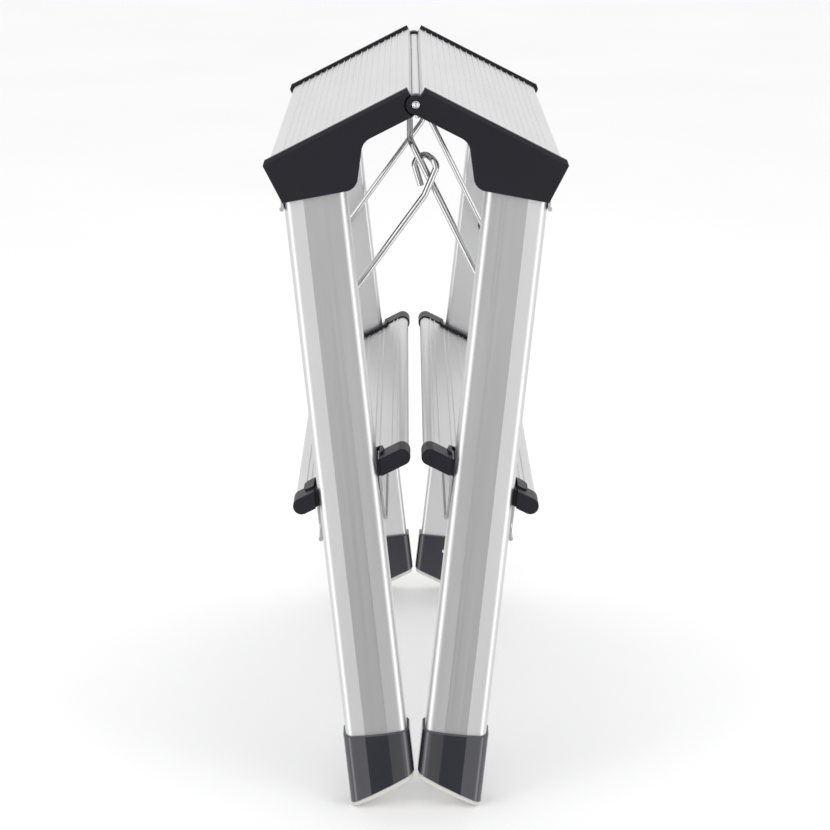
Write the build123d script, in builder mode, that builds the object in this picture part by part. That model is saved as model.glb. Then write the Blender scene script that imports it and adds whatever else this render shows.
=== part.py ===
from build123d import *
import os
from math import atan, cos, radians, sin

os.makedirs("parts", exist_ok=True)

# Double-sided folding step ladder, drawn folded up, in millimetres.
# +Z is up and +Y runs along the hinge line. The origin is on the floor, midway between the feet.
# A left and a right half swing about one steel axle. In each half's own side view, "along" runs
# outwards from the axle through the platform and "up" runs square to it, so both read as if the
# ladder stood open with its platform level.

# Driving dimensions
fold_angle = 27.0  # how far each half swings between folded and open
half_length = 207.0  # middle of the ladder to the outer face of a top bracket
platform_reach = 114.6  # axle to the outer edge of the top bracket
step_height = -218.0  # middle of the step tread, measured up from the axle
sole_height = -434.6  # underside of the foot pads, measured up from the axle

# Stiles: crowned box extrusions that lean outwards and splay apart towards the floor
stile_width = 45.0
stile_depth = 23.0
stile_wall = 1.5
stile_flat = 16.4  # width of the raised middle facet
stile_crown = 1.9  # how far the outer face falls away at its edges
stile_outer_radius = 6.0
stile_inner_radius = 3.0
stile_along = 82.9  # axle to the stile's middle, at the axle's height
stile_slope = 0.3812  # how far the stile runs outwards for each unit down
stile_lean = atan(stile_slope)
stile_splay = radians(5.4)
stile_face = 198.9  # middle of the ladder to the stile's outer face, at the axle's height

# Platform extrusion
deck_top = 10.0
deck_wall = 1.6
deck_reach = 112.0
deck_length = 200.4  # middle of the ladder to the cut end
deck_gap = 0.4  # half of the gap between the two platforms when open
deck_lip = 2.0  # height of the outer lip's lower edge
deck_edge_radius = 2.5
deck_web_along = 11.0  # web under the deck beside the hinge
deck_web_foot = -4.8
ridge_pitch = 5.6
ridge_height = 0.8
ridge_count = 18
ridge_base = 1.9
ridge_flank = 60  # slope of the ridges' flanks in degrees
ridge_sink = 0.1  # depth of the ridges' feet in the deck

# Hinge
axle_radius = 2.25
axle_bore = 2.35
axle_head_radius = 2.65
axle_head_pocket = 3.3
axle_pocket_depth = 1.0
axle_inset = 0.2  # depth of the axle's ends below the brackets' faces
axle_head_thickness = 0.7
axle_dish_radius = 1.02
axle_dish_depth = 0.3
bead_radius = 5.0
bead_clearance = 0.8
bead_neck_along = 1.0  # neck that joins the bead to the platform
bead_neck_foot = 2.0
bead_neck_width = 2.6
knuckle_radius = 6.8
knuckle_recess = 8.2
knuckle_backing = 3.0  # solid plastic left round a knuckle's recess
lap_gap = 0.4  # gap between the lapped knuckles, and between them and the platforms

# Top brackets
bracket_depth = 10.0
bracket_plate = 3.5
bracket_wall = 2.5
rim_top = 13.0
rim_bevel = 2.4
rim_corner = 2.6
cover_edge = 0.8
cover_outer_foot = -19.0
cover_point = (63.9, -34.0)  # lowest corner, beside the stile
cover_point_radius = 10.0
cover_arch = (44.9, -6.5)  # corner of the arch over the wires
cover_arch_radius = 11.0
rib_places = (22.0, 36.0, 50.0)
rib_thickness = 1.8

# Step extrusion and its end caps
step_arc_near = 122.3  # middle of the rounded edge nearest the axle
step_arc_far = 203.3
step_thickness = 9.8
step_wall = 1.5
step_length = 216.5
pair_count = 6  # pairs of ridges on the tread
pair_start = 2.1
pair_pitch = 14.0
pair_spacing = 4.0
step_ridge_base = 1.7
step_ridge_height = 0.7
cap_thickness = 12.2
cap_front = 221.5
cap_back = 200.5
cap_gap = 2.4  # gap between the cap and its stile
cap_web = 1.0  # cap's thickness in front of the step's cut end, beside the stile
cap_edge = 0.7
collar_front = 212.0
collar_back = 191.5  # middle of the ladder to the near edge of the cap's collar
collar_width = 64.0
collar_radius = 5.0
collar_rise = 1.5  # rise of the cap's collar above its arms
collar_floor = 0.3  # thickness of the cap under the collar's opening

# Skirts of both extrusions, which clasp the stiles' narrow sides
skirt_gap = 0.1
skirt_wall = 1.6
skirt_bead = 1.6
platform_skirts = (-26.0, -23.5)  # lower ends of the inner and outer skirt
step_skirts = (-254.0, -247.5)

# Rivets
rivet_shank = 2.0
rivet_length = 5.5
rivet_taper = 38
sheet_rivet_head = 4.6
sheet_rivet_rise = 1.5
foot_rivet_head = 3.4
foot_rivet_rise = 1.7
platform_rivet_heights = (-16.0, -11.0)  # through the inner and outer skirt
step_rivet_heights = (-235.0, -237.0)
foot_rivet_height = -402.0

# Feet
boot_wall = 1.9
boot_fit = 0.1
boot_height = 41.8
boot_tilt = 0.15  # how far the rim rises towards the inner face, for each unit of depth
boot_floor = 3.0
boot_edge = 0.5
pad_inset = 1.2
pad_thickness = 3.2

# Wire stays
wire_radius = 2.4
wire_bore = 2.48
wire_pivot_up = -115.0
bail_side = 173.0  # middle of the ladder to the bail's arms
coil_step = 5.4  # sideways distance from the bail's arm to each side of the hook's coil
wire_end = 193.0
bush_radius = 3.5
bush_flange = 5.0
bush_face = 186.0  # middle of the ladder to the bushes' flanges
bush_length = 6.0
end_bend = 5.0  # bend radius where a wire turns into its bush
elbow_x = 6.4  # the hook's elbow
elbow_down = 68.0
elbow_bend = 8.0
coil_x = 7.0
coil_down = 48.5
coil_radius = 7.4
coil_start = 4.4  # direction of the first corner of the coil's outline, in degrees
coil_turn = 42.72  # turn at each corner of the coil's outline, in degrees
coil_bend = 5.0
tail_length = 13.0
bar_x = -4.0  # the bail's straight bar
bar_down = 29.4
bar_bend = 6.0

fold = radians(fold_angle)


def aim(along, up, sideways=0.0):
    """World direction of a direction given in the left half's side view."""
    return Vector(-along * cos(fold) - up * sin(fold), sideways, -along * sin(fold) + up * cos(fold))


def stile_middle(up):
    """Distance along, from the axle to the stile's middle, at a height in the side view."""
    return stile_along - up * stile_slope


# The folded ladder stands on the outer edges of its pads, so they set the axle's height.
pad_half_width = (stile_width / 2 + boot_wall - pad_inset) / cos(stile_lean)
pad_edge = stile_middle(sole_height) + pad_half_width
axle_height = pad_edge * sin(fold) - sole_height * cos(fold)
axle = Vector(0, 0, axle_height)


def side_view(y=0.0):
    """Plane of the left half's side view, at a distance along the hinge line."""
    return Plane(origin=axle + Vector(0, y, 0), x_dir=aim(1, 0), z_dir=(0, 1, 0))


def level(up):
    """Plane level with the open ladder's platform, facing up from the feet."""
    return Plane(origin=axle + aim(0, up), x_dir=aim(1, 0), z_dir=aim(0, 1))


# Cross-section plane of the left front stile: X across its width, Y out through its outer face, Z up it.
stile_up = aim(-sin(stile_lean) * cos(stile_splay), cos(stile_lean) * cos(stile_splay), sin(stile_splay))
stile_plane = Plane(
    origin=axle + aim(stile_along, 0, -stile_face),
    x_dir=aim(cos(stile_lean), sin(stile_lean)),
    z_dir=stile_up,
)


def stile_run(up):
    """Distance up the stile of a height in the side view."""
    return up / (cos(stile_lean) * cos(stile_splay))


def stile_section(grow=0.0):
    """The stile's outer profile, grown outwards by a margin."""
    half = stile_width / 2
    with BuildSketch(stile_plane) as section:
        with BuildLine():
            Polyline(
                (-stile_flat / 2, 0),
                (stile_flat / 2, 0),
                (half, -stile_crown),
                (half, -stile_depth),
                (-half, -stile_depth),
                (-half, -stile_crown),
                close=True,
            )
        make_face()
        fillet(section.vertices().group_by(Axis.Y)[0], stile_inner_radius)
        fillet(section.vertices().group_by(Axis.Y)[-2], stile_outer_radius)
        if grow:
            offset(amount=grow, kind=Kind.ARC)
    return section.sketch


def finish(piece, name):
    """Label a piece and write it out."""
    piece.part.label = name
    export_step(piece.part, "parts/" + name + ".step")


def finish_sides(piece, name):
    """Write a left piece and its mirror image on the right."""
    finish(piece, "left_" + name)
    with BuildPart() as opposite:
        mirror(piece.part, about=Plane.YZ)
    finish(opposite, "right_" + name)


def finish_ends(piece, name):
    """Write a front piece and its mirror image at the rear."""
    side, item = name.split("_", 1)
    finish(piece, side + "_front_" + item)
    with BuildPart() as opposite:
        mirror(piece.part, about=Plane.XZ)
    finish(opposite, side + "_rear_" + item)


def finish_corners(piece, name):
    """Write a left front piece and its mirror images at the other three corners."""
    finish_ends(piece, "left_" + name)
    with BuildPart() as opposite:
        mirror(piece.part, about=Plane.YZ)
    finish_ends(opposite, "right_" + name)


# Rivets: places on the left front corner, each a plane on the clamped sheet's outer surface
def skirt_rivet(side, up):
    """Rivet through a skirt into the stile's narrow side; side is 1 away from the axle, -1 towards it."""
    across = side * (stile_width / 2 + skirt_gap + skirt_wall)
    run = stile_run(up - across * sin(stile_lean))
    origin = stile_plane.from_local_coords((across, -stile_depth / 2, run))
    return Plane(origin=origin, x_dir=stile_plane.z_dir, z_dir=stile_plane.x_dir * side)


platform_rivets = [skirt_rivet(side, up) for side, up in zip((-1, 1), platform_rivet_heights)]
step_rivets = [skirt_rivet(side, up) for side, up in zip((-1, 1), step_rivet_heights)]
boot_back = -stile_depth - boot_wall
foot_rivets = [
    Plane(
        origin=stile_plane.from_local_coords((0, boot_back, stile_run(foot_rivet_height))),
        x_dir=stile_plane.z_dir,
        z_dir=-stile_plane.y_dir,
    )
]


def flip_end(vector):
    """Mirror a place or direction to the other end of the ladder."""
    return Vector(vector.X, -vector.Y, vector.Z)


def both_ends(places):
    """The given rivet places and their mirror images at the rear."""
    rear = [
        Plane(origin=flip_end(place.origin), x_dir=flip_end(place.x_dir), z_dir=flip_end(place.z_dir))
        for place in places
    ]
    return places + rear


def rivet_holes(places):
    """Drill the clearance-free holes of a group of rivets."""
    for place in places:
        with BuildSketch(place) as hole:
            Circle(rivet_shank)
        extrude(hole.sketch, amount=-rivet_length, mode=Mode.SUBTRACT)


def rivet_group(places, head_radius, head_height):
    """Domed rivets with plain shanks, at both ends of the half."""
    with BuildPart() as group:
        for place in both_ends(places):
            with BuildSketch(place):
                Circle(rivet_shank)
            extrude(amount=-rivet_length)
            with BuildSketch(place):
                Circle(head_radius)
            extrude(amount=head_height, taper=rivet_taper)
    return group


# Stiles
with BuildPart() as stile_core:
    extrude(stile_section(), amount=stile_run(-sole_height) + stile_width, both=True)
    split(bisect_by=level(deck_top - deck_wall), keep=Keep.BOTTOM)
    split(bisect_by=level(sole_height + pad_thickness + boot_floor), keep=Keep.TOP)

wire_pivot = axle + aim(stile_middle(wire_pivot_up), wire_pivot_up)
pivot_view = Plane(origin=(wire_pivot.X, 0, wire_pivot.Z), x_dir=(1, 0, 0), z_dir=(0, -1, 0))

with BuildPart() as stile:
    add(stile_core.part)
    extrude(stile_section(-stile_wall), amount=2 * stile_run(-sole_height), both=True, mode=Mode.SUBTRACT)
    rivet_holes(platform_rivets + step_rivets + foot_rivets)
    with BuildSketch(pivot_view.offset(bail_side)):
        Circle(bush_radius)
    extrude(amount=wire_end - bail_side, mode=Mode.SUBTRACT)
finish_corners(stile, "stile")


def skirt(side, top, bottom):
    """A sheet down a stile's narrow side, ending in a round bead; side is 1 outside, -1 inside."""
    near = side * (stile_width / 2 + skirt_gap) / cos(stile_lean)
    far = side * (stile_width / 2 + skirt_gap + skirt_wall) / cos(stile_lean)
    bead = side * (stile_width / 2 + skirt_gap + skirt_bead) / cos(stile_lean)
    Polygon(
        (stile_middle(top) + near, top),
        (stile_middle(top) + far, top),
        (stile_middle(bottom) + far, bottom),
        (stile_middle(bottom) + near, bottom),
        align=None,
    )
    with Locations((stile_middle(bottom) + bead, bottom)):
        Circle(skirt_bead)


# Platforms: one ribbed extrusion per half. The right one carries the bead that the axle runs through.
def platform(with_bead):
    with BuildPart() as deck:
        with BuildSketch(side_view()) as section:
            with BuildLine():
                Polyline(
                    (deck_gap, deck_top),
                    (deck_reach, deck_top),
                    (deck_reach, deck_lip),
                    (deck_reach - deck_wall, deck_lip),
                    (deck_reach - deck_wall, deck_top - deck_wall),
                    (deck_gap + deck_wall, deck_top - deck_wall),
                    (deck_gap + deck_wall, bead_radius + bead_clearance),
                    (deck_gap, bead_radius + bead_clearance),
                    close=True,
                )
            make_face()
            outer_edge = section.vertices().group_by(Axis.X)[-1].sort_by(Axis.Y)[-1]
            fillet(outer_edge, deck_edge_radius)
            ridge_foot = deck_top - ridge_sink
            with Locations(*[(ridge_pitch * (i + 1), ridge_foot) for i in range(ridge_count)]):
                Trapezoid(ridge_base, ridge_height + ridge_sink, ridge_flank, align=(Align.CENTER, Align.MIN))
            deck_middle = deck_top - deck_wall / 2
            for side, foot in zip((-1, 1), platform_skirts):
                skirt(side, deck_middle, foot)
            with Locations((deck_web_along, deck_web_foot)):
                Rectangle(deck_wall, deck_middle - deck_web_foot, align=(Align.MIN, Align.MIN))
            if with_bead:
                Circle(bead_radius)
                with Locations((bead_neck_along, bead_neck_foot)):
                    Rectangle(bead_neck_width, deck_middle - bead_neck_foot, align=(Align.MIN, Align.MIN))
                Circle(axle_bore, mode=Mode.SUBTRACT)
        extrude(amount=deck_length, both=True)
        # Both ends are cut back round the brackets' knuckles.
        recess_end = half_length - bracket_depth - lap_gap
        for y in (-deck_length, recess_end):
            with BuildSketch(side_view(y)):
                Circle(knuckle_recess)
            extrude(amount=deck_length - recess_end, mode=Mode.SUBTRACT)
        rivet_holes(both_ends(platform_rivets))
    return deck


plain_platform = platform(with_bead=False)
beaded_platform = platform(with_bead=True)
finish(plain_platform, "left_platform")
with BuildPart() as right_platform:
    mirror(beaded_platform.part, about=Plane.YZ)
finish(right_platform, "right_platform")


# Top brackets: moulded covers over the ends of the platform, with half-lapped knuckles on the axle
bracket_corners = [
    (deck_gap, rim_top),
    (platform_reach - rim_corner, rim_top),
    (platform_reach, rim_top - rim_corner),
    (platform_reach, cover_outer_foot),
    cover_point,
    cover_arch,
    (deck_gap, cover_arch[1]),
]


def bracket(outer_lap):
    """Left front bracket; outer_lap puts its knuckle in the outer half of the lap joint."""
    front = side_view(-half_length)
    with BuildPart() as cover:
        with BuildSketch(front) as outline:
            Polygon(*bracket_corners, align=None)
            fillet(outline.vertices().sort_by_distance(cover_point)[0], cover_point_radius)
            fillet(outline.vertices().sort_by_distance(cover_arch)[0], cover_arch_radius)
        extrude(amount=bracket_depth)
        upwards = Axis((0, 0, 0), aim(0, 1))
        chamfer(cover.edges().group_by(Axis.Y)[0].sort_by(upwards)[-1], rim_bevel)
        fillet(cover.edges().group_by(Axis.Y)[0], cover_edge)
        # Hollow behind the outer plate, with a solid knuckle and three ribs left standing
        with BuildSketch(front.offset(bracket_plate)):
            add(outline.sketch.moved(front.location.inverse()))
            offset(amount=-bracket_wall)
            Circle(knuckle_recess + knuckle_backing, mode=Mode.SUBTRACT)
            with Locations(*[(along, 0) for along in rib_places]):
                Rectangle(rib_thickness, platform_reach, mode=Mode.SUBTRACT)
        extrude(amount=bracket_depth, mode=Mode.SUBTRACT)
        # The rim is narrower than the cover, so the platform's ridges run up to it.
        with BuildSketch(side_view(-deck_length)):
            with Locations((0, deck_top)):
                Rectangle(2 * platform_reach, rim_top, align=(Align.MIN, Align.MIN))
        extrude(amount=bracket_depth, mode=Mode.SUBTRACT)
        covered_platform = beaded_platform if outer_lap else plain_platform
        add(covered_platform.part, mode=Mode.SUBTRACT)
        add(stile_core.part, mode=Mode.SUBTRACT)
        # Half lap: outer half from the face inwards, inner half behind it
        lap = bracket_plate - lap_gap / 2
        inner_lap = lap + lap_gap
        own_start, own_depth = (0.0, lap) if outer_lap else (inner_lap, bracket_depth - inner_lap)
        other_start, other_depth = (lap, bracket_depth) if outer_lap else (0.0, inner_lap)
        with BuildSketch(front.offset(other_start)):
            Circle(knuckle_recess)
        extrude(amount=other_depth, mode=Mode.SUBTRACT)
        with BuildSketch(front.offset(own_start)):
            Circle(knuckle_radius)
        extrude(amount=own_depth)
        with BuildSketch(front):
            Circle(axle_bore)
        extrude(amount=bracket_depth, mode=Mode.SUBTRACT)
        if outer_lap:
            with BuildSketch(front):
                Circle(axle_head_pocket)
            extrude(amount=axle_pocket_depth, mode=Mode.SUBTRACT)
    return cover


inner_bracket = bracket(outer_lap=False)
finish_ends(inner_bracket, "left_top_bracket")
outer_bracket = bracket(outer_lap=True)
with BuildPart() as right_bracket:
    mirror(outer_bracket.part, about=Plane.YZ)
finish_ends(right_bracket, "right_top_bracket")

# Hinge axle: one steel rod from bracket to bracket, its ends set over into shallow dished heads
axle_end = half_length - axle_inset
with BuildPart() as hinge_axle:
    with BuildSketch(side_view()):
        Circle(axle_radius)
    extrude(amount=axle_end, both=True)
    for y in (-axle_end, axle_end - axle_head_thickness):
        with BuildSketch(side_view(y)):
            Circle(axle_head_radius)
        extrude(amount=axle_head_thickness)
    for y in (-axle_end, axle_end - axle_dish_depth):
        with BuildSketch(side_view(y)):
            Circle(axle_dish_radius)
        extrude(amount=axle_dish_depth, mode=Mode.SUBTRACT)
finish(hinge_axle, "hinge_axle")

# Space that a stile takes out of a step, open towards the step's cut end
notch_reach = 80.0
with BuildPart() as stile_notch:
    with BuildSketch(stile_plane):
        with Locations((0, -stile_depth - skirt_gap)):
            Rectangle(stile_width + 2 * skirt_gap, notch_reach, align=(Align.CENTER, Align.MIN))
    extrude(amount=stile_run(-sole_height), both=True)

# Steps: hollow extrusions with rounded edges, pairs of ridges and two skirts
step_middle = (step_arc_near + step_arc_far) / 2
step_spread = step_arc_far - step_arc_near
step_top = step_height + step_thickness / 2
with BuildPart() as step:
    with BuildSketch(side_view()) as tread:
        with Locations((step_middle, step_height)):
            SlotCenterToCenter(step_spread, step_thickness)
            SlotCenterToCenter(step_spread, step_thickness - 2 * step_wall, mode=Mode.SUBTRACT)
        ridge_foot = step_top - ridge_sink
        ridge_rise = step_ridge_height + ridge_sink
        for pair in range(pair_count):
            along = step_arc_near + pair_start + pair * pair_pitch
            with Locations((along, ridge_foot), (along + pair_spacing, ridge_foot)):
                Trapezoid(step_ridge_base, ridge_rise, ridge_flank, align=(Align.CENTER, Align.MIN))
        for side, foot in zip((-1, 1), step_skirts):
            skirt(side, step_top - step_wall / 2, foot)
    extrude(amount=step_length, both=True)
    add(stile_notch.part, mode=Mode.SUBTRACT)
    mirror(stile_notch.part, about=Plane.XZ, mode=Mode.SUBTRACT)
    rivet_holes(both_ends(step_rivets))
finish_sides(step, "step")

# Step end caps: a sleeve over each cut end and a raised collar round the stile, clear of it all round
with BuildPart() as cap_notch:
    with BuildSketch(stile_plane):
        with Locations((0, -stile_depth - cap_gap)):
            Rectangle(stile_width + 2 * cap_gap, notch_reach, align=(Align.CENTER, Align.MIN))
    extrude(amount=stile_run(-sole_height), both=True)

with BuildPart() as collar_trough:
    add(cap_notch.part)
    split(bisect_by=level(step_top + collar_floor), keep=Keep.TOP)

with BuildPart() as face_gap:
    add(cap_notch.part)
    split(bisect_by=side_view(-step_length - cap_web), keep=Keep.BOTTOM)

with BuildPart() as step_cap:
    with BuildSketch(side_view(-cap_front)):
        with Locations((step_middle, step_height)):
            SlotCenterToCenter(step_spread, cap_thickness)
    extrude(amount=cap_front - cap_back)
    fillet(step_cap.edges().group_by(Axis.Y)[0], cap_edge)
    with BuildSketch(level(step_top)) as collar:
        with Locations((stile_middle(step_height), collar_back)):
            Rectangle(collar_width, collar_front - collar_back, align=(Align.CENTER, Align.MIN))
        fillet(collar.vertices(), collar_radius)
    extrude(amount=(cap_thickness - step_thickness) / 2 + collar_rise)
    add(stile_notch.part, mode=Mode.SUBTRACT)
    add(step.part, mode=Mode.SUBTRACT)
    add(collar_trough.part, mode=Mode.SUBTRACT)
    add(face_gap.part, mode=Mode.SUBTRACT)
finish_corners(step_cap, "step_cap")

# Feet: a moulded boot over each stile's end, on a soft pad
boot_rim = Plane(
    origin=stile_plane.offset(stile_run(sole_height + pad_thickness) + boot_height).origin,
    x_dir=stile_plane.x_dir,
    z_dir=stile_plane.z_dir + stile_plane.y_dir * boot_tilt,
)
with BuildPart() as boot_pocket:
    extrude(stile_section(boot_fit), amount=-stile_run(-sole_height) - stile_width)
    split(bisect_by=level(sole_height + pad_thickness + boot_floor), keep=Keep.TOP)

with BuildPart() as boot:
    extrude(stile_section(boot_wall), amount=-stile_run(-sole_height) - stile_width)
    split(bisect_by=boot_rim, keep=Keep.BOTTOM)
    split(bisect_by=level(sole_height + pad_thickness), keep=Keep.TOP)
    chamfer(boot.edges().group_by(Axis((0, 0, 0), boot_rim.z_dir))[-1], boot_edge)
    add(boot_pocket.part, mode=Mode.SUBTRACT)
    rivet_holes(foot_rivets)
finish_corners(boot, "foot_boot")

with BuildPart() as pad:
    extrude(stile_section(boot_wall - pad_inset), amount=-stile_run(-sole_height) - stile_width)
    split(bisect_by=level(sole_height + pad_thickness), keep=Keep.BOTTOM)
    split(bisect_by=level(sole_height), keep=Keep.TOP)
finish_corners(pad, "foot_pad")

# Rivets, one group per joint on each half
finish_sides(rivet_group(platform_rivets, sheet_rivet_head, sheet_rivet_rise), "platform_rivets")
finish_sides(rivet_group(step_rivets, sheet_rivet_head, sheet_rivet_rise), "step_rivets")
finish_sides(rivet_group(foot_rivets, foot_rivet_head, foot_rivet_rise), "foot_rivets")

# Bushes in the stiles' inner faces, where the wire stays turn
with BuildPart() as bushes:
    with BuildSketch(pivot_view.offset(bush_face)):
        Circle(bush_flange)
    extrude(amount=bush_length)
    add(stile_core.part, mode=Mode.SUBTRACT)
    with BuildSketch(pivot_view.offset(bush_face)):
        Circle(bush_radius)
    extrude(amount=bush_length)
    with BuildSketch(pivot_view.offset(bush_face - bush_length)):
        Circle(wire_bore)
    extrude(amount=3 * bush_length, mode=Mode.SUBTRACT)
    mirror(about=Plane.XZ)
finish_sides(bushes, "wire_bushes")

# Hooks: each comes up from its stile in front of the bail's arm, coils over it and drops behind it
coil_middle = axle + Vector(coil_x, 0, -coil_down)
corner_radius = coil_radius / cos(radians(coil_turn / 2))
hook_side = bail_side + coil_step
tail_side = bail_side - coil_step
coil_sides = [hook_side, hook_side, tail_side, tail_side, tail_side]
hook_route = [
    (wire_pivot.X, -wire_end, wire_pivot.Z),
    (wire_pivot.X, -hook_side, wire_pivot.Z),
    (elbow_x, -hook_side, axle_height - elbow_down),
]
for corner, side in enumerate(coil_sides):
    angle = radians(coil_start + coil_turn * corner)
    corner_x = coil_middle.X + corner_radius * cos(angle)
    corner_z = coil_middle.Z + corner_radius * sin(angle)
    hook_route.append((corner_x, -side, corner_z))
tail_angle = radians(coil_start + coil_turn * (len(coil_sides) - 0.5))
tail_x = coil_middle.X + coil_radius * cos(tail_angle) - tail_length * sin(tail_angle)
tail_z = coil_middle.Z + coil_radius * sin(tail_angle) + tail_length * cos(tail_angle)
hook_route.append((tail_x, -tail_side, tail_z))


def wire(route, radii):
    """Round wire bent along a route of straight runs and tangent arcs."""
    with BuildPart() as bent:
        with BuildLine() as path:
            FilletPolyline(*route, radius=radii)
        with BuildSketch(path.line ^ 0):
            Circle(wire_radius)
        sweep()
    return bent


finish_ends(wire(hook_route, [end_bend, elbow_bend] + [coil_bend] * len(coil_sides)), "left_hook")

# Bail: one wire from stile to stile on the right half, with a straight bar under the platform
bail_route = [
    (-wire_pivot.X, -wire_end, wire_pivot.Z),
    (-wire_pivot.X, -bail_side, wire_pivot.Z),
    (bar_x, -bail_side, axle_height - bar_down),
]
bail_route = bail_route + [(x, -y, z) for x, y, z in reversed(bail_route)]
finish(wire(bail_route, [end_bend, bar_bend, bar_bend, end_bend]), "right_bail")
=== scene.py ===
from math import atan, cos, pi, radians, sin

import bmesh
import bpy
from mathutils import Matrix, Vector


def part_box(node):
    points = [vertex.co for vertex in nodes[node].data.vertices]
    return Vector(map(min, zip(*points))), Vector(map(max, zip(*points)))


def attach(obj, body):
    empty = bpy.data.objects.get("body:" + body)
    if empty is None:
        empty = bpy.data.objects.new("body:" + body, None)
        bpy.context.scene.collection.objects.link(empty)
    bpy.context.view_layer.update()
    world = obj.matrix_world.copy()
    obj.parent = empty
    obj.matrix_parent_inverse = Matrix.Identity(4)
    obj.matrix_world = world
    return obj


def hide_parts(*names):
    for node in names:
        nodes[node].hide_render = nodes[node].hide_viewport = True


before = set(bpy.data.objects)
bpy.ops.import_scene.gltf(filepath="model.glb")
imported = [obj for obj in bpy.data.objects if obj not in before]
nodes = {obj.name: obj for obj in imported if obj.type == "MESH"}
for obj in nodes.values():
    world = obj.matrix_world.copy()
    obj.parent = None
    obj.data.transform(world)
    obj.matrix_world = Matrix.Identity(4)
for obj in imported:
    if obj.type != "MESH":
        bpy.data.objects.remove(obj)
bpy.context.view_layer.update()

# Stiles: four hollow aluminium extrusions with a raised middle facet, satin anodised. Drawing through
# the die leaves fine lines along each one. Each leans outwards and splays towards the floor, so its
# lines are turned to its own direction.
fold = radians(27.0)
lean = atan(0.3812)
splay = radians(5.4)


def stile_direction(side, end):
    """Unit vector up a stile; side is -1 left or 1 right, end is -1 front or 1 rear."""
    outwards = -sin(lean) * cos(splay)
    upwards = cos(lean) * cos(splay)
    x = side * (outwards * cos(fold) + upwards * sin(fold))
    z = upwards * cos(fold) - outwards * sin(fold)
    return Vector((x, -end * sin(splay), z))


def principled(name, colour, metallic, roughness, **constants):
    """A material whose shader takes these constants, with its tree and shader."""
    material = bpy.data.materials.new(name)
    material.use_nodes = True
    tree = material.node_tree
    shader = tree.nodes["Principled BSDF"]
    shader.inputs["Base Color"].default_value = (*colour, 1.0)
    shader.inputs["Metallic"].default_value = metallic
    shader.inputs["Roughness"].default_value = roughness
    for socket, value in constants.items():
        shader.inputs[socket.replace("_", " ")].default_value = value
    return material, tree, shader


def pattern(tree, cell, along=Vector((0, 0, 1)), detail=2.0):
    """Noise whose cells have this size in metres, with their third size along a direction."""
    place = tree.nodes.new("ShaderNodeTexCoord")
    mapping = tree.nodes.new("ShaderNodeMapping")
    mapping.vector_type = "TEXTURE"
    mapping.inputs["Rotation"].default_value = along.to_track_quat("Z", "Y").to_euler()
    mapping.inputs["Scale"].default_value = cell
    noise = tree.nodes.new("ShaderNodeTexNoise")
    noise.inputs["Scale"].default_value = 1.0
    noise.inputs["Detail"].default_value = detail
    tree.links.new(place.outputs["Object"], mapping.inputs["Vector"])
    tree.links.new(mapping.outputs["Vector"], noise.inputs["Vector"])
    return noise.outputs["Fac"]


def spread(tree, value, low, high):
    """The value, near 0.5 on average, stretched to run from low to high."""
    ranged = tree.nodes.new("ShaderNodeMapRange")
    ranged.inputs["From Min"].default_value = 0.3
    ranged.inputs["From Max"].default_value = 0.7
    ranged.inputs["To Min"].default_value = low
    ranged.inputs["To Max"].default_value = high
    tree.links.new(value, ranged.inputs["Value"])
    return ranged.outputs["Result"]


def tint(tree, shader, value, first, second):
    """Base colour running from the first colour to the second with the value."""
    mix = tree.nodes.new("ShaderNodeMix")
    mix.data_type = "RGBA"
    mix.inputs["A"].default_value = (*first, 1.0)
    mix.inputs["B"].default_value = (*second, 1.0)
    tree.links.new(value, mix.inputs["Factor"])
    tree.links.new(mix.outputs["Result"], shader.inputs["Base Color"])


def relief(tree, shader, value, depth, strength):
    """Surface relief of a real depth in metres."""
    bump = tree.nodes.new("ShaderNodeBump")
    bump.inputs["Distance"].default_value = depth
    bump.inputs["Strength"].default_value = strength
    tree.links.new(value, bump.inputs["Height"])
    tree.links.new(bump.outputs["Normal"], shader.inputs["Normal"])


def anodised(name, along):
    """Satin anodised extrusion with its drawing lines along a direction."""
    material, tree, shader = principled(name, (0.5, 0.5, 0.505), 1.0, 0.36)
    lines = pattern(tree, (0.0004, 0.0004, 0.25), along, 3.0)
    bloom = pattern(tree, (0.03, 0.03, 0.12), along)
    tint(tree, shader, spread(tree, bloom, 0.0, 1.0), (0.66, 0.66, 0.662), (0.69, 0.69, 0.692))
    tree.links.new(spread(tree, lines, 0.37, 0.46), shader.inputs["Roughness"])
    relief(tree, shader, lines, 0.00002, 0.25)
    return material


def finish_node(name, material):
    """Give a CAD node its finish."""
    nodes[name].data.materials[0] = material


sides = {"left": -1, "right": 1}
ends = {"front": -1, "rear": 1}
corners = {f"{side}_{end}": stile_direction(sides[side], ends[end]) for side in sides for end in ends}
for corner, direction in corners.items():
    finish_node(f"{corner}_stile", anodised(f"{corner}_stile_finish", direction))

# Platform halves and steps: ribbed and hollow extrusions of the same anodised alloy as the stiles. Their
# drawing lines run along the hinge line, and their skirts are riveted to the stiles.
deck_finish = anodised("deck_finish", Vector((0, 1, 0)))
for name in ("left_platform", "right_platform", "left_step", "right_step"):
    finish_node(name, deck_finish)


# Brackets and step caps: injection-moulded polypropylene, dark blue-grey. A fine spark-eroded grain on
# the mould leaves them satin, and each is pushed over the cut end of its extrusion.
def moulded(name, dark, light, roughness, grain_depth, shine):
    material, tree, shader = principled(name, dark, 0.0, roughness, Specular_IOR_Level=shine)
    cloud = pattern(tree, (0.04, 0.04, 0.04))
    tint(tree, shader, spread(tree, cloud, 0.0, 1.0), dark, light)
    grain = pattern(tree, (0.00035, 0.00035, 0.00035), detail=1.0)
    tree.links.new(spread(tree, grain, roughness - 0.04, roughness + 0.06), shader.inputs["Roughness"])
    relief(tree, shader, grain, grain_depth, 0.4)
    return material


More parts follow.
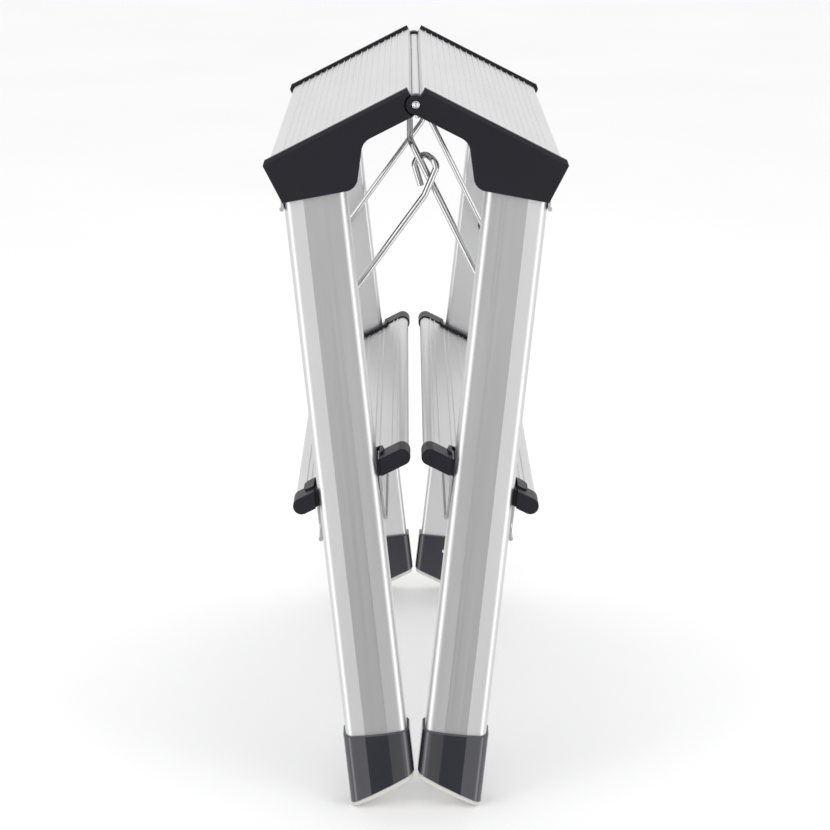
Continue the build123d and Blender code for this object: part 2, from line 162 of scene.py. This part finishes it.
cover_finish = moulded("cover_finish", (0.0125, 0.0115, 0.0165), (0.015, 0.014, 0.0195), 0.42, 0.00003, 0.2)
for corner in corners:
    finish_node(f"{corner}_top_bracket", cover_finish)
    finish_node(f"{corner}_step_cap", cover_finish)

# Boots: the same plastic from a polished mould, so that their rounded corners shine. Each is pushed
# over the end of its stile and held by one rivet at the back.
boot_finish = moulded("boot_finish", (0.02, 0.02, 0.029), (0.024, 0.024, 0.034), 0.2, 0.000008, 1.0)
for corner in corners:
    finish_node(f"{corner}_foot_boot", boot_finish)

# Pads: soft warm grey elastomer soles, moulded under the boots to grip the floor. Their skin is matt
# and slightly pebbled.
pad_finish, pad_tree, pad_shader = principled("pad_finish", (0.6, 0.59, 0.55), 0.0, 0.75)
pad_grain = pattern(pad_tree, (0.0006, 0.0006, 0.0006))
tint(pad_tree, pad_shader, spread(pad_tree, pad_grain, 0.0, 1.0), (0.56, 0.55, 0.515), (0.63, 0.62, 0.585))
relief(pad_tree, pad_shader, pad_grain, 0.00004, 0.5)
for corner in corners:
    finish_node(f"{corner}_foot_pad", pad_finish)


# Rivets: domed aluminium blind rivets that hold the skirts and boots to the stiles. Each head has a pit
# where its pulled mandrel broke off.
def turned(name, profile, sides):
    """Mesh of a profile of (radius, height) points turned about Z; it starts and ends on the axis."""
    shape = bmesh.new()
    rings = []
    for radius, height in profile:
        if radius == 0:
            rings.append([shape.verts.new((0, 0, height))] * sides)
            continue
        angles = [2 * pi * step / sides for step in range(sides)]
        rings.append([shape.verts.new((radius * cos(a), radius * sin(a), height)) for a in angles])
    for low, high in zip(rings, rings[1:]):
        for i in range(sides):
            j = (i + 1) % sides
            loop = list(dict.fromkeys((low[i], low[j], high[j], high[i])))
            shape.faces.new(loop)
    mesh = bpy.data.meshes.new(name)
    shape.to_mesh(mesh)
    shape.free()
    mesh.shade_smooth()
    mesh.set_sharp_from_angle(angle=radians(50))
    return mesh


def seats(name):
    """Centre and outward direction of each rivet's seat: the flat ring under its head."""
    copy = bmesh.new()
    copy.from_mesh(nodes[name].data)
    bmesh.ops.remove_doubles(copy, verts=copy.verts, dist=1e-6)
    copy.faces.ensure_lookup_table()
    found, seen = [], set()
    for start in copy.faces:
        if start in seen:
            continue
        island, queue = [], [start]
        seen.add(start)
        while queue:
            face = queue.pop()
            island.append(face)
            for edge in face.edges:
                for other in edge.link_faces:
                    if other not in seen:
                        seen.add(other)
                        queue.append(other)
        flats = {}
        for face in island:
            key = tuple(round(c, 2) for c in face.normal)
            flats.setdefault(key, []).append(face)
        ring = max(flats.values(), key=lambda faces: sum(f.calc_area() for f in faces))
        area = sum(f.calc_area() for f in ring)
        centre = sum((f.calc_center_median() * f.calc_area() for f in ring), Vector()) / area
        found.append((centre, -ring[0].normal))
    copy.free()
    return found


def sockets(tree, inputs):
    """Input and output sockets of a node tree; inputs are (name, type) pairs."""
    for name, kind in inputs:
        tree.interface.new_socket(name, in_out="INPUT", socket_type=kind)
    tree.interface.new_socket("Geometry", in_out="OUTPUT", socket_type="NodeSocketGeometry")
    return tree.nodes.new("NodeGroupInput"), tree.nodes.new("NodeGroupOutput")


def chain(tree, *steps):
    """Link outputs to inputs, given as (node, output, node, input)."""
    for source, output, target, socket in steps:
        tree.links.new(source.outputs[output], target.inputs[socket])


def grown(name, start, tree, values):
    """Plain mesh object that a node tree makes of a starting mesh, with its inputs set."""
    seed = bpy.data.objects.new(name + "_seed", start)
    bpy.context.scene.collection.objects.link(seed)
    modifier = seed.modifiers.new(tree.name, "NODES")
    modifier.node_group = tree
    for item in tree.interface.items_tree:
        if item.in_out == "INPUT" and item.name in values:
            modifier[item.identifier] = values[item.name]
    evaluated = seed.evaluated_get(bpy.context.evaluated_depsgraph_get())
    mesh = bpy.data.meshes.new_from_object(evaluated)
    seed.modifiers.remove(modifier)
    bpy.data.objects.remove(seed)
    mesh.name = name
    piece = bpy.data.objects.new(name, mesh)
    bpy.context.scene.collection.objects.link(piece)
    return piece


rivet_finish, rivet_tree, rivet_shader = principled("rivet_finish", (0.78, 0.78, 0.78), 1.0, 0.25)
rivet_scuff = pattern(rivet_tree, (0.0005, 0.0005, 0.0005))
rivet_tree.links.new(spread(rivet_tree, rivet_scuff, 0.2, 0.34), rivet_shader.inputs["Roughness"])

setting = bpy.data.node_groups.new("rivet_setting", "GeometryNodeTree")
setting_in, setting_out = sockets(setting, [
    ("Seats", "NodeSocketGeometry"), ("Rivet", "NodeSocketObject"), ("Finish", "NodeSocketMaterial")])
rivet_source = setting.nodes.new("GeometryNodeObjectInfo")
axis = setting.nodes.new("GeometryNodeInputNamedAttribute")
axis.data_type = "FLOAT_VECTOR"
axis.inputs["Name"].default_value = "axis"
aim_rivet = setting.nodes.new("FunctionNodeAlignRotationToVector")
aim_rivet.axis = "Z"
stand = setting.nodes.new("GeometryNodeInstanceOnPoints")
realize = setting.nodes.new("GeometryNodeRealizeInstances")
coat = setting.nodes.new("GeometryNodeSetMaterial")
chain(
    setting,
    (setting_in, "Rivet", rivet_source, "Object"),
    (axis, "Attribute", aim_rivet, "Vector"),
    (setting_in, "Seats", stand, "Points"),
    (rivet_source, "Geometry", stand, "Instance"),
    (aim_rivet, "Rotation", stand, "Rotation"),
    (stand, "Instances", realize, "Geometry"),
    (realize, "Geometry", coat, "Geometry"),
    (setting_in, "Finish", coat, "Material"),
    (coat, "Geometry", setting_out, "Geometry"),
)


def rivet_profile(head, rise):
    """Shank, domed head and mandrel pit; head is the head's radius and rise its height."""
    shank, length, pit = 0.002, 0.0055, 0.0012
    profile = [(0, -length), (shank, -length), (shank, 0), (head, 0), (head, rise * 0.2)]
    for step in range(1, 7):
        turn = pi / 2 * step / 7
        profile.append((pit + (head - pit) * cos(turn), rise * (0.2 + 0.8 * sin(turn))))
    return profile + [(pit, rise), (pit * 0.85, rise * 0.35), (pit * 0.6, rise * 0.3), (0, rise * 0.45)]


for kind, head, rise in (("platform", 0.0046, 0.0015), ("step", 0.0046, 0.0015), ("foot", 0.0034, 0.0017)):
    rivet = bpy.data.objects.new(f"{kind}_rivet", turned(f"{kind}_rivet", rivet_profile(head, rise), 24))
    bpy.context.scene.collection.objects.link(rivet)
    for side in sides:
        node = f"{side}_{kind}_rivets"
        places = seats(node)
        points = bpy.data.meshes.new(node)
        points.from_pydata([centre for centre, direction in places], [], [])
        axes = points.attributes.new("axis", "FLOAT_VECTOR", "POINT")
        for i, (centre, direction) in enumerate(places):
            axes.data[i].vector = direction
        values = {"Rivet": rivet, "Finish": rivet_finish}
        group = grown(node + "_domed", points, setting, values)
        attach(group, f"{side}_half")
        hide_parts(node)
    bpy.data.objects.remove(rivet)

# Bushes: small flanged sleeves of the covers' plastic, pressed into the stiles' inner walls. The wire
# stays turn in them.
for side in sides:
    finish_node(f"{side}_wire_bushes", cover_finish)

# Hinge axle: a zinc-plated rod from bracket to bracket. Its ends are set over into dished heads.
axle_low, axle_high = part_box("hinge_axle")
axle = (axle_low + axle_high) / 2
axle_finish, axle_tree, axle_shader = principled("axle_finish", (0.7, 0.7, 0.71), 1.0, 0.22)
axle_lines = pattern(axle_tree, (0.0003, 0.0003, 0.02), Vector((0, 1, 0)))
axle_tree.links.new(spread(axle_tree, axle_lines, 0.18, 0.3), axle_shader.inputs["Roughness"])
rod_radius = 0.00225
head_radius = 0.00265
reach = axle_high.y
head_end = [(rod_radius, reach - 0.0007), (head_radius, reach - 0.0006), (head_radius, reach - 0.0002),
            (head_radius * 0.85, reach), (head_radius * 0.62, reach - 0.00005),
            (head_radius * 0.42, reach - 0.0005), (0, reach - 0.00065)]
rod_profile = [(radius, -height) for radius, height in reversed(head_end)] + head_end
rod_mesh = turned("hinge_axle_rod", rod_profile, 32)
rod_mesh.transform(Matrix.Translation((axle.x, 0, axle.z)) @ Matrix.Rotation(-pi / 2, 4, "X"))
rod_mesh.materials.append(axle_finish)
rod = bpy.data.objects.new("hinge_axle_rod", rod_mesh)
bpy.context.scene.collection.objects.link(rod)
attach(rod, "hinge_axle")
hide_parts("hinge_axle")

# Stays: bright plated round wire. Two hooks come up from the left stiles in front of the bail's arms,
# coil over them and drop behind. The bail is one wire from stile to stile on the right half.
wire_finish, wire_tree, wire_shader = principled("wire_finish", (0.58, 0.58, 0.585), 1.0, 0.2)
wire_haze = pattern(wire_tree, (0.006, 0.006, 0.006))
wire_tree.links.new(spread(wire_tree, wire_haze, 0.15, 0.24), wire_shader.inputs["Roughness"])

for name in ("left_front_hook", "left_rear_hook", "right_bail"):
    finish_node(name, wire_finish)

# Floor: a plain pale matt sheet under the ladder, rolled out well past it. Gloss doesn't see it, so the
# panels' reflections run down to the feet.
floor_finish, floor_tree, floor_shader = principled("floor_finish", (0.95, 0.95, 0.95), 0.0, 0.9)
floor_mottle = pattern(floor_tree, (0.5, 0.5, 0.5))
floor_shade = spread(floor_tree, floor_mottle, 0.0, 1.0)
tint(floor_tree, floor_shader, floor_shade, (0.94, 0.94, 0.94), (0.96, 0.96, 0.96))
floor_half = 6.0
floor_mesh = bpy.data.meshes.new("floor")
floor_mesh.from_pydata(
    [(x, y, 0) for x, y in ((-floor_half, -floor_half), (floor_half, -floor_half),
                            (floor_half, floor_half), (-floor_half, floor_half))], [], [(0, 1, 2, 3)])
floor_mesh.materials.append(floor_finish)
floor = bpy.data.objects.new("floor", floor_mesh)
bpy.context.scene.collection.objects.link(floor)
floor.visible_glossy = False
floor.visible_shadow = False


# Studio: soft panels round the ladder in an even white room, and a grey card in front that puts the
# darker band down the middle of each stile and wire.
def panel(name, place, target, width, height, watts):
    """A soft rectangular light that faces a target."""
    light = bpy.data.lights.new(name, "AREA")
    light.shape = "RECTANGLE"
    light.size = width
    light.size_y = height
    light.energy = watts
    lamp = bpy.data.objects.new(name, light)
    lamp.location = place
    lamp.rotation_euler = (Vector(target) - Vector(place)).to_track_quat("-Z", "Y").to_euler()
    bpy.context.scene.collection.objects.link(lamp)


for side, sign in sides.items():
    panel(f"{side}_panel", (sign, -0.95, 0.2), (0, 0, 0.2), 0.42, 2.0, 4.4)
panel("top_panel", (0, 0.3, 2.0), (0, 0, 0.27), 1.4, 1.4, 6)

world = bpy.data.worlds.new("white_room")
world.use_nodes = True
room = world.node_tree.nodes["Background"]
room.inputs["Color"].default_value = (1, 1, 1, 1)
room.inputs["Strength"].default_value = 1.0
bpy.context.scene.world = world

card_finish, card_tree, card_shader = principled("card_finish", (0.03, 0.03, 0.03), 0.0, 0.95)
card_half, card_low, card_high, card_place = 0.15, -0.7, 0.85, -0.95
card_mesh = bpy.data.meshes.new("grey_card")
card_mesh.from_pydata(
    [(-card_half, card_place, card_low), (card_half, card_place, card_low),
     (card_half, card_place, card_high), (-card_half, card_place, card_high)], [], [(0, 1, 2, 3)])
card_mesh.materials.append(card_finish)
card = bpy.data.objects.new("grey_card", card_mesh)
bpy.context.scene.collection.objects.link(card)
card.visible_camera = False
card.visible_shadow = False
card.visible_diffuse = False

# Camera: on the ladder's middle, a little above it, looking down along the hinge line.
camera_data = bpy.data.cameras.new("camera")
camera_data.sensor_width = 36.0
camera_data.lens = 102.8
camera = bpy.data.objects.new("camera", camera_data)
camera.location = (-0.0065, -1.8441, 0.739)
camera.rotation_euler = (radians(90 - 15.37), 0, -0.0036)
bpy.context.scene.collection.objects.link(camera)
bpy.context.scene.camera = camera
bpy.context.scene.view_settings.view_transform = "Standard"
